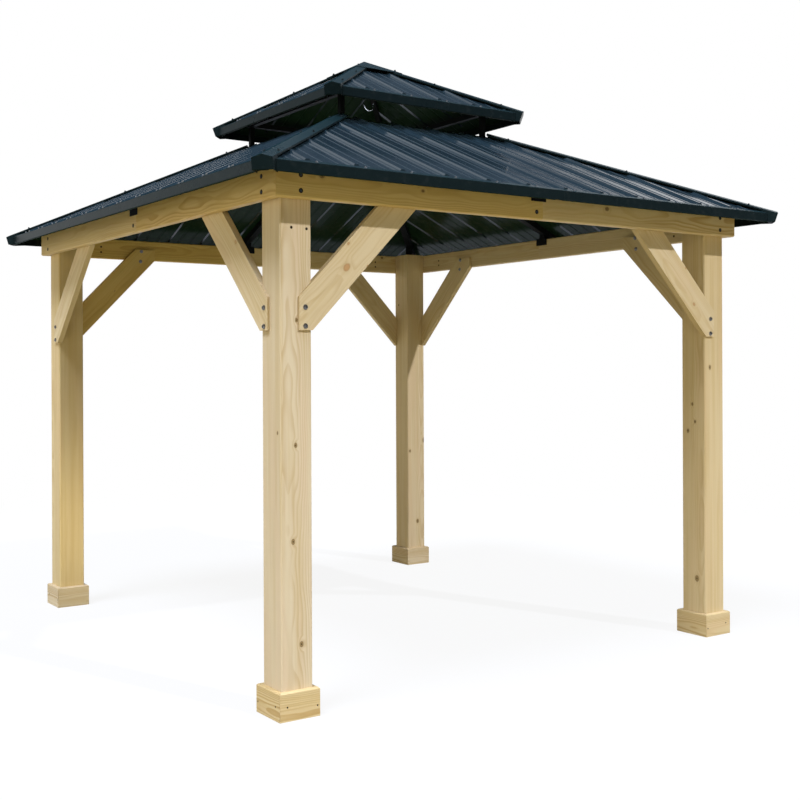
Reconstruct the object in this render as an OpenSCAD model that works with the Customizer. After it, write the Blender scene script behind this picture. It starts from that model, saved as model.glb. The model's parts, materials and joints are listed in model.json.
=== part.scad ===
// Square garden gazebo: timber posts, beams and braces under a ribbed steel roof in two tiers.
// Millimetres, Z up, origin on the ground at the centre of the plan, front side towards -Y.

/* [Timber frame] */
// Width of each square post
post_w = 140; // [120:5:160]
// Distance between the centres of neighbouring posts
post_pitch = 2440; // [2300:20:2800]
// Chamfer on the long edges of the timber
edge_ease = 5; // [2:1:8]
// Height of the underside of the beams above the ground
beam_z = 1985; // [1900:5:2200]
// Height of a beam board
beam_h = 115; // [100:5:150]
// Thickness of a beam board
beam_t = 40; // [30:1:50]
// Distance from mid span to the joint between the two boards of a beam
beam_seam = 26; // [0:1:30]

/* [Braces] */
// Width of a brace board
brace_w = 133; // [110:1:145]
// Thickness of a brace board
brace_t = 28; // [24:1:36]
// Height of the brace foot below the beam, and its reach along the beam
brace_drop = 500; // [400:10:600]
// Lap of a brace on the post and on the beam
brace_lap = 60; // [45:1:65]
// Part of the brace thickness that stands proud of the post
brace_proud = 10; // [4:1:14]

/* [Post skirts] */
// Thickness of the boards around a post foot
skirt_t = 20; // [15:1:28]
// Height of the boards around a post foot
skirt_h = 110; // [80:5:150]
// Chamfer along the top of the skirt boards
skirt_ease = 5; // [2:1:8]

/* [Lower roof] */
// Slope of the lower roof in degrees
roof_pitch = 24.4; // [22:0.1:29]
// Overhang of the eave beyond the outer face of the beams
eave_out = 135; // [110:5:180]
// Height of the rafter seat above the beams at mid span
roof_lift = 21; // [14:1:40]
// Half width of the square opening at the top of the lower roof
crown_half = 462; // [420:2:500]
// Reach of the corner boxes beyond the corner of the eave trims
corner_out = 12; // [0:1:24]

/* [Roof sheets] */
// Thickness of the roof sheets
sheet_t = 3; // [2:0.5:4]
// Spacing of the ribs
rib_pitch = 220; // [180:5:260]
// Distance from the middle of a side to the nearest rib
rib_shift = 70; // [0:5:90]
// Width of a rib at its foot
rib_w = 32; // [28:1:44]
// Width of a rib along its top
rib_top = 16; // [14:1:22]
// Height of a rib
rib_h = 9; // [7:1:16]
// Distance from the eave to the closed end of a rib
rib_stop = 38; // [34:1:60]
// Width of the two shallow folds between neighbouring ribs
swage_w = 16; // [10:1:24]
// Height of the shallow folds
swage_h = 2; // [1:0.5:4]
// Distance from the hip line to the edge of a sheet
hip_gap = 6; // [4:1:10]

/* [Trim] */
// Thickness of the folded trims and caps
trim_t = 2.5; // [2:0.5:4]
// Height of the eave trim
trim_h = 42; // [34:1:55]
// Depth of the folds at the top and bottom of the eave trim
trim_lip = 26; // [14:1:32]
// Width of each wing of a hip cap
cap_wing = 40; // [32:1:50]
// Depth of the downturned edges of a hip cap
cap_skirt = 6; // [3:1:12]
// Length of a corner box inside the corner of the eave trims
box_len = 70; // [60:1:90]
// Drop of a corner box below the eave trims
box_drop = 2; // [0:1:6]

/* [Roof frame] */
// Width of the steel rafters
rafter_w = 40; // [30:1:50]
// Depth of the steel rafters
rafter_h = 32; // [26:1:40]
// Thickness of the crown ring bars
ring_t = 30; // [28:1:40]
// Width of a saddle along the beam
saddle_w = 84; // [70:1:100]
// Drop of the saddle lips down the beam faces
saddle_lip = 37; // [20:1:50]
// Thickness of the saddle plate
saddle_t = 4; // [3:0.5:6]

/* [Upper roof] */
// Slope of the upper roof in degrees
upper_pitch = 27.4; // [23:0.1:31]
// Overhang of the upper eave beyond the crown opening
upper_out = 134; // [110:2:160]
// Height of the vent posts
vent_h = 117; // [95:1:140]
// Width of the vent posts
vent_w = 24; // [20:1:27]
// Width and depth of the bars of the upper roof frame
upper_bar = 25; // [20:1:30]
// Reach of the upper corner boxes beyond the corner of the upper trims
upper_tip = 2; // [0:1:16]
// Half width of the cap on the peak
peak_half = 146; // [110:2:160]
// Half width of the block under the peak
hub_half = 30; // [24:1:36]
// Height of the block under the peak
hub_h = 60; // [40:2:80]
// Thickness of the wire of the hanging hook
hook_wire = 6; // [5:0.5:10]
// Radius of the bend of the hanging hook
hook_r = 30; // [22:1:36]
// Length of the straight part of the hanging hook
hook_shank = 120; // [50:5:150]

/* [Hidden] */
$fn = 48;

// Clearance between pieces that seat on each other
clr = 0.3;
// Gap between timber boards that meet end to end
joint_gap = 0.6;
// Margin by which a cutting shape passes the shape it cuts
past = 60;

// Quarter turns that carry the front side and the front left corner around the plan
turn_front = 0;
turn_right = 90;
turn_rear = 180;
turn_left = 270;
turns = [turn_front, turn_right, turn_rear, turn_left];

post_half = post_w / 2;
post_at = post_pitch / 2;
face_at = post_at + post_half;
beam_in = face_at + clr;
beam_out = beam_in + beam_t;
beam_mid = (beam_in + beam_out) / 2;
beam_top = beam_z + beam_h;
skirt_in = post_half + clr;
skirt_out = skirt_in + skirt_t;

brace_rise = brace_w * sqrt(2);
brace_in = brace_t - brace_proud;

slope = tan(roof_pitch);
hip_tilt = atan(slope / sqrt(2));
hip_fold = atan(slope / sqrt(2) * cos(hip_tilt));
eave_half = beam_out + eave_out;
seat_z = beam_top + roof_lift;
rafter_drop = (rafter_h + clr) / cos(roof_pitch);
eave_z = seat_z + rafter_drop - slope * (eave_half - beam_mid);
crown_z = eave_z + slope * (eave_half - crown_half);
ring_top = crown_z - clr;
ring_h = rafter_drop + clr;
rafter_foot = eave_half - trim_t - clr;
hip_drop = rafter_w / 2 * tan(hip_fold) + clr;
hip_under = (hip_drop + rafter_h) / cos(hip_tilt);

upper_slope = tan(upper_pitch);
upper_tilt = atan(upper_slope / sqrt(2));
upper_fold = atan(upper_slope / sqrt(2) * cos(upper_tilt));
upper_half = crown_half + upper_out;
upper_ring_z = ring_top + clr + vent_h + clr;
upper_ring_top = upper_ring_z + upper_bar;
upper_drop = upper_bar / 2 * tan(upper_fold) + clr;
upper_under = (upper_drop + upper_bar) / cos(upper_tilt);
upper_eave_z = upper_ring_top + clr + upper_under - upper_slope * upper_out;
upper_peak_z = upper_eave_z + upper_slope * upper_half;

vent_at = crown_half - vent_w / 2 - hip_gap;
sheet_top = crown_half - hip_gap / 2;
sheet_tip = hub_half;
edge_in = trim_t + clr;
rib_stand = sheet_t + rib_h;
lip_stand = sheet_t + swage_h + clr;
cap_seat = rib_stand + clr;
cap_stand = cap_seat + cap_skirt;
stack_lift = (cap_stand + trim_t + clr) / cos(upper_pitch);
peak_skin = trim_t / cos(upper_pitch);
hub_corner = hub_half * sqrt(2);
hub_top = upper_peak_z - upper_slope * hub_corner - clr;
hub_z = hub_top - hub_h;

// Heights of the underside of the sheets at a distance from the centre
function lower_z(d) = eave_z + slope * (eave_half - d);
function upper_z(d) = upper_eave_z + upper_slope * (upper_half - d);

// Distance of a corner box's inner end from the centre, along the diagonal
function box_start(half) = half * sqrt(2) - box_len;

// Length along the hip from the centre to the end face of a corner box
function box_reach(half, out, tilt, fold) =
    (half * sqrt(2) + out - (cap_stand + trim_t) / cos(fold) * sin(tilt)) / cos(tilt);

// Rib places that reach across a side of half width w, and the shallow folds between them
function rib_first(w) = -floor((w + rib_shift) / rib_pitch);
function rib_last(w) = floor((w - rib_shift) / rib_pitch);
function rib_list(w) = [for (i = [rib_first(w) : rib_last(w)]) rib_shift + i * rib_pitch];
function swage_at(i, k) = rib_shift + (i + k / 3) * rib_pitch;
function swage_list(w) = [for (i = [rib_first(w) - 1 : rib_last(w)], k = [1, 2])
                          if (abs(swage_at(i, k)) < w) swage_at(i, k)];

// Upper and lower lines of the flat of a sheet with its shallow folds
function fold_line(w, z) = [for (u = swage_list(w)) each [[u - swage_w / 2, z], [u - swage_w / 4, z + swage_h],
                                                          [u + swage_w / 4, z + swage_h], [u + swage_w / 2, z]]];
function backwards(list) = [for (i = [len(list) - 1 : -1 : 0]) list[i]];
function flat_line(w) = concat([[-w, sheet_t]], fold_line(w - swage_w, sheet_t), [[w, sheet_t], [w, 0]],
                               backwards(fold_line(w - swage_w, 0)), [[-w, 0]]);

// Plan of one side between its two hips, from the eave in to the top edge
module side_plan(outer, inner, gap) {
    polygon([[-outer + gap, -outer], [outer - gap, -outer], [inner - gap, -inner], [gap - inner, -inner]]);
}

// Plan square with its corners cut off at a distance from the centre along the diagonal
module cut_square(half, reach) {
    intersection() {
        square(2 * half, center = true);
        rotate(45) square(2 * reach, center = true);
    }
}

// Rectangle with eased corners, standing on its lower edge
module eased_rect(w, h, e) {
    polygon([[-w / 2 + e, 0], [w / 2 - e, 0], [w / 2, e], [w / 2, h - e],
             [w / 2 - e, h], [-w / 2 + e, h], [-w / 2, h - e], [-w / 2, e]]);
}

// Bar along X with the profile given as a child, its profile's Y becoming Z
module bar_x(length) {
    rotate([90, 0, 90]) linear_extrude(length, center = true) children();
}

// Shape laid on a slope of the front side, running down from the distance d
module on_slope(d, z, length, pitch) {
    translate([0, -d, z]) rotate([90 + pitch, 0, 0]) linear_extrude(length) children();
}

// Shape laid along the hip over the front left corner, running down from the distance d
module on_hip(d, z, length, tilt) {
    rotate(-45) translate([0, -d * sqrt(2), z]) rotate([90 + tilt, 0, 0]) linear_extrude(length) children();
}

// Upright band across the front left diagonal, between two distances from the centre
module diagonal_band(inner, outer, width, z, h) {
    rotate(-45) translate([-width / 2, -outer, z]) cube([width, outer - inner, h]);
}

// Timber pieces
module post() {
    difference() {
        translate([-post_at, -post_at, 0]) linear_extrude(beam_top)
            translate([0, -post_half]) eased_rect(post_w, post_w, edge_ease);
        brace_pocket();
        mirror([1, -1, 0]) brace_pocket();
    }
}

module brace_pocket() {
    translate([-post_at + post_half, -face_at, beam_z]) rotate([90, 0, 0])
        translate([0, 0, -brace_in - clr]) linear_extrude(brace_in + past)
            polygon([[-brace_lap - clr, -brace_drop - clr], [past, -brace_drop - clr],
                     [past, brace_rise - brace_drop + past], [-brace_lap - clr, brace_rise - brace_drop - brace_lap + clr]]);
}

module brace_outline() {
    polygon([[-brace_lap, -brace_drop], [0, -brace_drop], [brace_drop, 0], [brace_drop, brace_lap],
             [brace_lap + brace_drop - brace_rise, brace_lap], [-brace_lap, brace_rise - brace_drop - brace_lap]]);
}

// Brace on the front side beside the front left post, with its head rebated behind the beam
module brace() {
    difference() {
        translate([-post_at + post_half, -face_at - brace_proud, beam_z]) rotate([90, 0, 0])
            translate([0, 0, -brace_t]) linear_extrude(brace_t) brace_outline();
        translate([-post_at, -face_at - brace_proud - past, beam_z - clr])
            cube([post_at, brace_proud + past, brace_lap + past]);
    }
}

module skirt() {
    for (turn = turns) {
        translate([-post_at, -post_at, 0]) rotate(turn) intersection() {
            translate([0, -skirt_in, 0]) bar_x(2 * skirt_out)
                polygon([[0, 0], [0, skirt_h], [skirt_ease - skirt_t, skirt_h],
                         [-skirt_t, skirt_h - skirt_ease], [-skirt_t, 0]]);
            translate([0, 0, -past]) linear_extrude(skirt_h + 2 * past)
                side_plan(skirt_out, skirt_in, joint_gap);
        }
    }
}

module beam() {
    difference() {
        intersection() {
            translate([0, -beam_mid, beam_z]) bar_x(2 * beam_out) eased_rect(beam_t, beam_h, edge_ease);
            translate([0, 0, beam_z - past]) linear_extrude(beam_h + 2 * past) side_plan(beam_out, beam_in, joint_gap);
        }
        translate([beam_seam - joint_gap / 2, -beam_out - past, beam_z - past])
            cube([joint_gap, beam_t + 2 * past, beam_h + 2 * past]);
    }
}

// Steel frame of the lower roof
module hip_rafter() {
    intersection() {
        on_hip(0, lower_z(0), box_reach(eave_half, corner_out, hip_tilt, hip_fold) - edge_in, hip_tilt)
            translate([-rafter_w / 2, -hip_drop - rafter_h]) square([rafter_w, rafter_h]);
        diagonal_band((crown_half + clr) * sqrt(2) + rafter_w / 2, eave_half * sqrt(2) + past,
                      rafter_w + past, beam_z, 2 * beam_z);
    }
}

module mid_rafter() {
    intersection() {
        on_slope(0, lower_z(0), 2 * eave_half, roof_pitch)
            translate([-rafter_w / 2, -clr - rafter_h]) square([rafter_w, rafter_h]);
        translate([-rafter_w, -rafter_foot, beam_z])
            cube([2 * rafter_w, rafter_foot - crown_half - clr, 2 * beam_z]);
    }
}

// Region below the underside of the rafter over the middle of the front beam
module below_mid_rafter() {
    on_slope(0, lower_z(0), 2 * eave_half, roof_pitch)
        translate([-saddle_w, -rafter_h - 2 * clr - beam_z]) square([2 * saddle_w, beam_z]);
}

module below_hip_rafter() {
    on_hip(0, lower_z(0), 2 * eave_half, hip_tilt)
        translate([-saddle_w, -hip_drop - rafter_h - clr - beam_z]) square([2 * saddle_w, beam_z]);
}

module beam_saddle() {
    half = beam_t / 2 + clr + saddle_t;
    translate([0, -beam_mid, beam_top + clr]) bar_x(saddle_w)
        polygon([[-half, -saddle_lip], [saddle_t - half, -saddle_lip], [saddle_t - half, 0], [half - saddle_t, 0],
                 [half - saddle_t, -saddle_lip], [half, -saddle_lip], [half, saddle_t], [-half, saddle_t]]);
    intersection() {
        translate([-rafter_w / 2, -beam_mid - beam_t / 2, beam_top + clr])
            cube([rafter_w, beam_t, seat_z]);
        below_mid_rafter();
    }
}

module post_saddle() {
    translate([-post_at, -post_at, beam_top + clr]) rotate(45)
        translate([-saddle_w / 2, -saddle_w / 2, 0]) cube([saddle_w, saddle_w, saddle_t]);
    intersection() {
        translate([-post_at, -post_at, beam_top + clr]) rotate(45)
            translate([-rafter_w / 2, -rafter_w / 2, 0]) cube([rafter_w, rafter_w, seat_z]);
        below_hip_rafter();
    }
}

module ring_bar(outer, thick, z, h) {
    translate([0, 0, z]) linear_extrude(h) side_plan(outer, outer - thick, joint_gap / 2);
}

// Ribs of a sheet as solid bars, or the hollows inside them
module rib_bars(w) {
    for (u = rib_list(w - rib_w)) {
        polygon([[u - rib_w / 2, 0], [u + rib_w / 2, 0], [u + rib_w / 2, sheet_t], [u + rib_top / 2, rib_stand],
                 [u - rib_top / 2, rib_stand], [u - rib_w / 2, sheet_t]]);
    }
}

module rib_hollows(w) {
    for (u = rib_list(w - rib_w)) {
        polygon([[u - rib_w / 2 + sheet_t, -sheet_t], [u + rib_w / 2 - sheet_t, -sheet_t], [u + rib_w / 2 - sheet_t, 0],
                 [u + rib_top / 2 - sheet_t / 2, rib_h], [u - rib_top / 2 + sheet_t / 2, rib_h],
                 [u - rib_w / 2 + sheet_t, 0]]);
    }
}

// Part of a sloping shape over one side, from the eave in to the top edge
module over_side(outer, inner, gap) {
    intersection() {
        children();
        translate([0, 0, beam_z]) linear_extrude(2 * beam_z) side_plan(outer, inner, gap);
    }
}

// Ribbed sheet of one side, with closed rib ends above the eave
module ribbed_sheet(half, inner, z0, pitch) {
    edge = half - edge_in;
    stop = half - rib_stop;
    run = 2 * half / cos(pitch);
    intersection() {
        difference() {
            union() {
                over_side(edge, inner, hip_gap) on_slope(0, z0, run, pitch) polygon(flat_line(half));
                over_side(stop, inner, hip_gap) on_slope(0, z0, run, pitch) rib_bars(stop);
            }
            over_side(stop - sheet_t, inner - past, hip_gap - past) on_slope(0, z0, run, pitch) rib_hollows(stop);
        }
        translate([0, 0, beam_z]) linear_extrude(2 * beam_z) cut_square(edge, box_start(half) - clr);
    }
}

module lower_sheet() {
    ribbed_sheet(eave_half, sheet_top, lower_z(0), roof_pitch);
}

module upper_sheet() {
    ribbed_sheet(upper_half, sheet_tip, upper_z(0), upper_pitch);
}

// Roof-shaped line across a hip, lifted above the sheets and cut off below
module hip_gable(half, stand, floor_v, fold) {
    polygon([[-half, floor_v], [half, floor_v], [half, stand / cos(fold) - half * tan(fold)],
             [0, stand / cos(fold)], [-half, stand / cos(fold) - half * tan(fold)]]);
}

// Folded cap over a hip, resting on the ribs of the two sheets beside it
module hip_cap(top, half, z0, tilt, fold) {
    inner = cap_wing - trim_t;
    fall = cap_wing * tan(fold);
    inner_fall = inner * tan(fold);
    seat = cap_seat / cos(fold);
    under = cap_stand / cos(fold);
    over = (cap_stand + trim_t) / cos(fold);
    intersection() {
        on_hip(0, z0, 2 * half, tilt)
            polygon([[0, under], [inner, under - inner_fall], [inner, seat - inner_fall], [cap_wing, seat - fall],
                     [cap_wing, over - fall], [0, over], [-cap_wing, over - fall], [-cap_wing, seat - fall],
                     [-inner, seat - inner_fall], [-inner, under - inner_fall]]);
        diagonal_band(top, box_start(half) - clr, 4 * cap_wing, beam_z, 2 * beam_z);
    }
}

// Height of the upper edge of an eave trim above the sheet's underside
function trim_crest(pitch) = (lip_stand + trim_t) / cos(pitch);

// Folded eave trim of one side, in two lengths, its upper lip lying on the sheet
module eave_trim(half, z, pitch) {
    seat = lip_stand / cos(pitch);
    crest = trim_crest(pitch);
    foot = crest - trim_h;
    rise = tan(pitch);
    difference() {
        translate([0, -half, z]) bar_x(2 * half)
            polygon([[0, crest], [0, foot], [trim_lip / 2, foot], [trim_lip / 2, foot + trim_t],
                     [trim_t, foot + trim_t], [trim_t, seat + trim_t * rise],
                     [trim_lip, seat + trim_lip * rise], [trim_lip, crest + trim_lip * rise]]);
        translate([beam_seam - joint_gap / 2, -half - past, z - trim_h - past])
            cube([joint_gap, 2 * past, 2 * trim_h + 2 * past]);
        translate([-rafter_w / 2 - clr, -half + trim_t, z + foot + trim_t - past])
            cube([rafter_w + 2 * clr, past, past + trim_h / 2]);
        for (side = [0, 1]) {
            mirror([side, 0, 0]) diagonal_band(half, half * sqrt(2) + past, 2 * (cap_wing + clr),
                                                z - 2 * trim_h, 4 * trim_h);
        }
    }
}

// Box that closes the foot of a hip between the two eave trims
module corner_box(half, out, z0, foot_z, tilt, fold) {
    reach = box_reach(half, out, tilt, fold);
    intersection() {
        difference() {
            on_hip(0, z0, reach, tilt) hip_gable(cap_wing, cap_stand + trim_t, -3 * trim_h, fold);
            on_hip(0, z0, reach - trim_t, tilt) hip_gable(cap_wing - trim_t, cap_stand, -4 * trim_h, fold);
        }
        diagonal_band(box_start(half), half * sqrt(2) + 2 * past, 3 * cap_wing, foot_z - box_drop, 2 * beam_z);
    }
}

// Frame and fittings of the upper roof
module vent_post() {
    translate([-vent_at - vent_w / 2, -vent_at - vent_w / 2, ring_top + clr]) cube([vent_w, vent_w, vent_h]);
}

module upper_rafter() {
    intersection() {
        on_hip(0, upper_z(0), box_reach(upper_half, upper_tip, upper_tilt, upper_fold) - edge_in, upper_tilt)
            translate([-upper_bar / 2, -upper_drop - upper_bar]) square(upper_bar);
        diagonal_band(hub_half + clr, upper_half * sqrt(2) + past, upper_bar + past, beam_z, 2 * beam_z);
    }
}

module peak_solid(half, top, floor_z) {
    foot = top - upper_slope * half;
    intersection_for (turn = [turn_front, turn_right]) {
        rotate(turn) bar_x(2 * half)
            polygon([[-half, floor_z], [half, floor_z], [half, foot], [0, top], [-half, foot]]);
    }
}

module front_left_post() {
    color("burlywood") rotate(turn_front) post();
}

module front_right_post() {
    color("burlywood") rotate(turn_right) post();
}

module rear_right_post() {
    color("burlywood") rotate(turn_rear) post();
}

module rear_left_post() {
    color("burlywood") rotate(turn_left) post();
}

module front_left_skirt() {
    color("wheat") rotate(turn_front) skirt();
}

module front_right_skirt() {
    color("wheat") rotate(turn_right) skirt();
}

module rear_right_skirt() {
    color("wheat") rotate(turn_rear) skirt();
}

module rear_left_skirt() {
    color("wheat") rotate(turn_left) skirt();
}

module front_beam() {
    color("tan") rotate(turn_front) beam();
}

module right_beam() {
    color("tan") rotate(turn_right) beam();
}

module rear_beam() {
    color("tan") rotate(turn_rear) beam();
}

module left_beam() {
    color("tan") rotate(turn_left) beam();
}

module front_brace_left() {
    color("wheat") rotate(turn_front) brace();
}

module front_brace_right() {
    color("wheat") rotate(turn_front) mirror([1, 0, 0]) brace();
}

module right_brace_front() {
    color("wheat") rotate(turn_right) brace();
}

module right_brace_rear() {
    color("wheat") rotate(turn_right) mirror([1, 0, 0]) brace();
}

module rear_brace_right() {
    color("wheat") rotate(turn_rear) brace();
}

module rear_brace_left() {
    color("wheat") rotate(turn_rear) mirror([1, 0, 0]) brace();
}

module left_brace_rear() {
    color("wheat") rotate(turn_left) brace();
}

module left_brace_front() {
    color("wheat") rotate(turn_left) mirror([1, 0, 0]) brace();
}

module hip_rafters() {
    color("dimgray") for (turn = turns) rotate(turn) hip_rafter();
}

module mid_rafters() {
    color("dimgray") for (turn = turns) rotate(turn) mid_rafter();
}

module post_saddles() {
    color("gray") for (turn = turns) rotate(turn) post_saddle();
}

module beam_saddles() {
    color("gray") for (turn = turns) rotate(turn) beam_saddle();
}

module crown_ring() {
    color("dimgray") for (turn = turns) rotate(turn) ring_bar(crown_half, ring_t, ring_top - ring_h, ring_h);
}

module front_roof_sheet() {
    color("darkslategray") rotate(turn_front) lower_sheet();
}

module right_roof_sheet() {
    color("darkslategray") rotate(turn_right) lower_sheet();
}

module rear_roof_sheet() {
    color("darkslategray") rotate(turn_rear) lower_sheet();
}

module left_roof_sheet() {
    color("darkslategray") rotate(turn_left) lower_sheet();
}

module hip_caps() {
    color("slategray") for (turn = turns) rotate(turn)
        hip_cap((crown_half + clr) * sqrt(2), eave_half, lower_z(0), hip_tilt, hip_fold);
}

module front_eave_trim() {
    color("slategray") rotate(turn_front) eave_trim(eave_half, eave_z, roof_pitch);
}

module right_eave_trim() {
    color("slategray") rotate(turn_right) eave_trim(eave_half, eave_z, roof_pitch);
}

module rear_eave_trim() {
    color("slategray") rotate(turn_rear) eave_trim(eave_half, eave_z, roof_pitch);
}

module left_eave_trim() {
    color("slategray") rotate(turn_left) eave_trim(eave_half, eave_z, roof_pitch);
}

module corner_caps() {
    corner_foot = eave_z + trim_crest(roof_pitch) - trim_h;
    color("darkslategray") for (turn = turns) rotate(turn)
        corner_box(eave_half, corner_out, lower_z(0), corner_foot, hip_tilt, hip_fold);
}

module vent_posts() {
    color("dimgray") for (turn = turns) rotate(turn) vent_post();
}

module upper_ring() {
    color("dimgray") for (turn = turns) rotate(turn) ring_bar(crown_half, ring_t, upper_ring_z, upper_bar);
}

module upper_rafters() {
    color("dimgray") for (turn = turns) rotate(turn) upper_rafter();
}

module upper_hub() {
    color("dimgray") translate([0, 0, hub_z]) rotate(45)
        translate([-hub_half, -hub_half, 0]) cube([2 * hub_half, 2 * hub_half, hub_h]);
}

module upper_roof_sheets() {
    color("darkslategray") for (turn = turns) rotate(turn) upper_sheet();
}

module upper_hip_caps() {
    color("slategray") for (turn = turns) rotate(turn)
        hip_cap(cap_wing + clr, upper_half, upper_z(0), upper_tilt, upper_fold);
}

module upper_eave_trims() {
    color("slategray") for (turn = turns) rotate(turn) eave_trim(upper_half, upper_eave_z, upper_pitch);
}

module upper_corner_caps() {
    corner_foot = upper_eave_z + trim_crest(upper_pitch) - trim_h;
    color("darkslategray") for (turn = turns) rotate(turn)
        corner_box(upper_half, upper_tip, upper_z(0), corner_foot, upper_tilt, upper_fold);
}

module peak_cap() {
    peak_under = upper_peak_z + stack_lift;
    color("slategray") difference() {
        peak_solid(peak_half, peak_under + peak_skin, peak_under - upper_slope * peak_half);
        peak_solid(peak_half + past, peak_under, peak_under - upper_slope * (peak_half + past) - past);
    }
}

module hanging_hook() {
    color("silver") translate([0, 0, hub_z - clr - hook_shank]) {
        cylinder(h = hook_shank, d = hook_wire);
        translate([hook_r, 0, 0]) rotate([90, 0, 0]) rotate([0, 0, 180])
            rotate_extrude(angle = 200) translate([hook_r, 0]) circle(d = hook_wire);
    }
}

front_left_post();
front_right_post();
rear_right_post();
rear_left_post();
front_left_skirt();
front_right_skirt();
rear_right_skirt();
rear_left_skirt();
front_beam();
right_beam();
rear_beam();
left_beam();
front_brace_left();
front_brace_right();
right_brace_front();
right_brace_rear();
rear_brace_right();
rear_brace_left();
left_brace_rear();
left_brace_front();
hip_rafters();
mid_rafters();
post_saddles();
beam_saddles();
crown_ring();
front_roof_sheet();
right_roof_sheet();
rear_roof_sheet();
left_roof_sheet();
hip_caps();
front_eave_trim();
right_eave_trim();
rear_eave_trim();
left_eave_trim();
corner_caps();
vent_posts();
upper_ring();
upper_rafters();
upper_hub();
upper_roof_sheets();
upper_hip_caps();
upper_eave_trims();
upper_corner_caps();
peak_cap();
hanging_hook();
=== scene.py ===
"""Looks of the garden gazebo: pine timber, coil-coated roof steel, its fixings, the studio and the camera."""
import json
import math

import bmesh
import bpy
from mathutils import Matrix, Vector
from mathutils.bvhtree import BVHTree


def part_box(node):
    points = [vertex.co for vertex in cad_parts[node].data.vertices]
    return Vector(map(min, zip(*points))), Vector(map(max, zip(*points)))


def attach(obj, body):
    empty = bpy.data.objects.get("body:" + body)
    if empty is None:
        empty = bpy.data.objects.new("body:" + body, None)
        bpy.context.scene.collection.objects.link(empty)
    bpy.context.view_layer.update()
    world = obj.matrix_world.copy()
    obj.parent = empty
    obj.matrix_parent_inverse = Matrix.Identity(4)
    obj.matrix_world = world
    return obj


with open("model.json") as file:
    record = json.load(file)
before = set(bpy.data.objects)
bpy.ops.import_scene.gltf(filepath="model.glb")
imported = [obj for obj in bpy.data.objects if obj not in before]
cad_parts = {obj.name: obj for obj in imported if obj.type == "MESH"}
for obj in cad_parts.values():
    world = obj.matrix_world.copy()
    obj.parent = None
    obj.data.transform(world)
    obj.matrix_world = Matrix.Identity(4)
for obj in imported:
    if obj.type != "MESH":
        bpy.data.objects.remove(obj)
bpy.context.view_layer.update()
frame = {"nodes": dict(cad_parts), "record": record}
nodes = frame["nodes"]

# Camera, from the photograph: focal length and optical centre in pixels, place in metres, turns in degrees
IMAGE_PX = 800.0
FOCAL_PX = 1127.0
CENTRE_X_PX = 320.8
CENTRE_Y_PX = 367.1
CAMERA_AT = Vector((-3.4617, -4.9727, 1.3461))
CAMERA_YAW = 32.582
CAMERA_PITCH = -0.045
CAMERA_ROLL = -0.237
SENSOR_MM = 36.0

# The four sides and corners in plan, each a turn of the front side
SIDE_TURN = {"front": 0, "right": 90, "rear": 180, "left": 270}
CORNER_TURN = {"front_left": 0, "front_right": 90, "rear_right": 180, "rear_left": 270}
BRACES = {
    "front": ("front_brace_left", "front_brace_right"),
    "right": ("right_brace_front", "right_brace_rear"),
    "rear": ("rear_brace_right", "rear_brace_left"),
    "left": ("left_brace_rear", "left_brace_front"),
}


def turned(degrees):
    """The turn about the upright axis that brings the front side round to another side."""
    return Matrix.Rotation(math.radians(degrees), 4, "Z")


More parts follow.
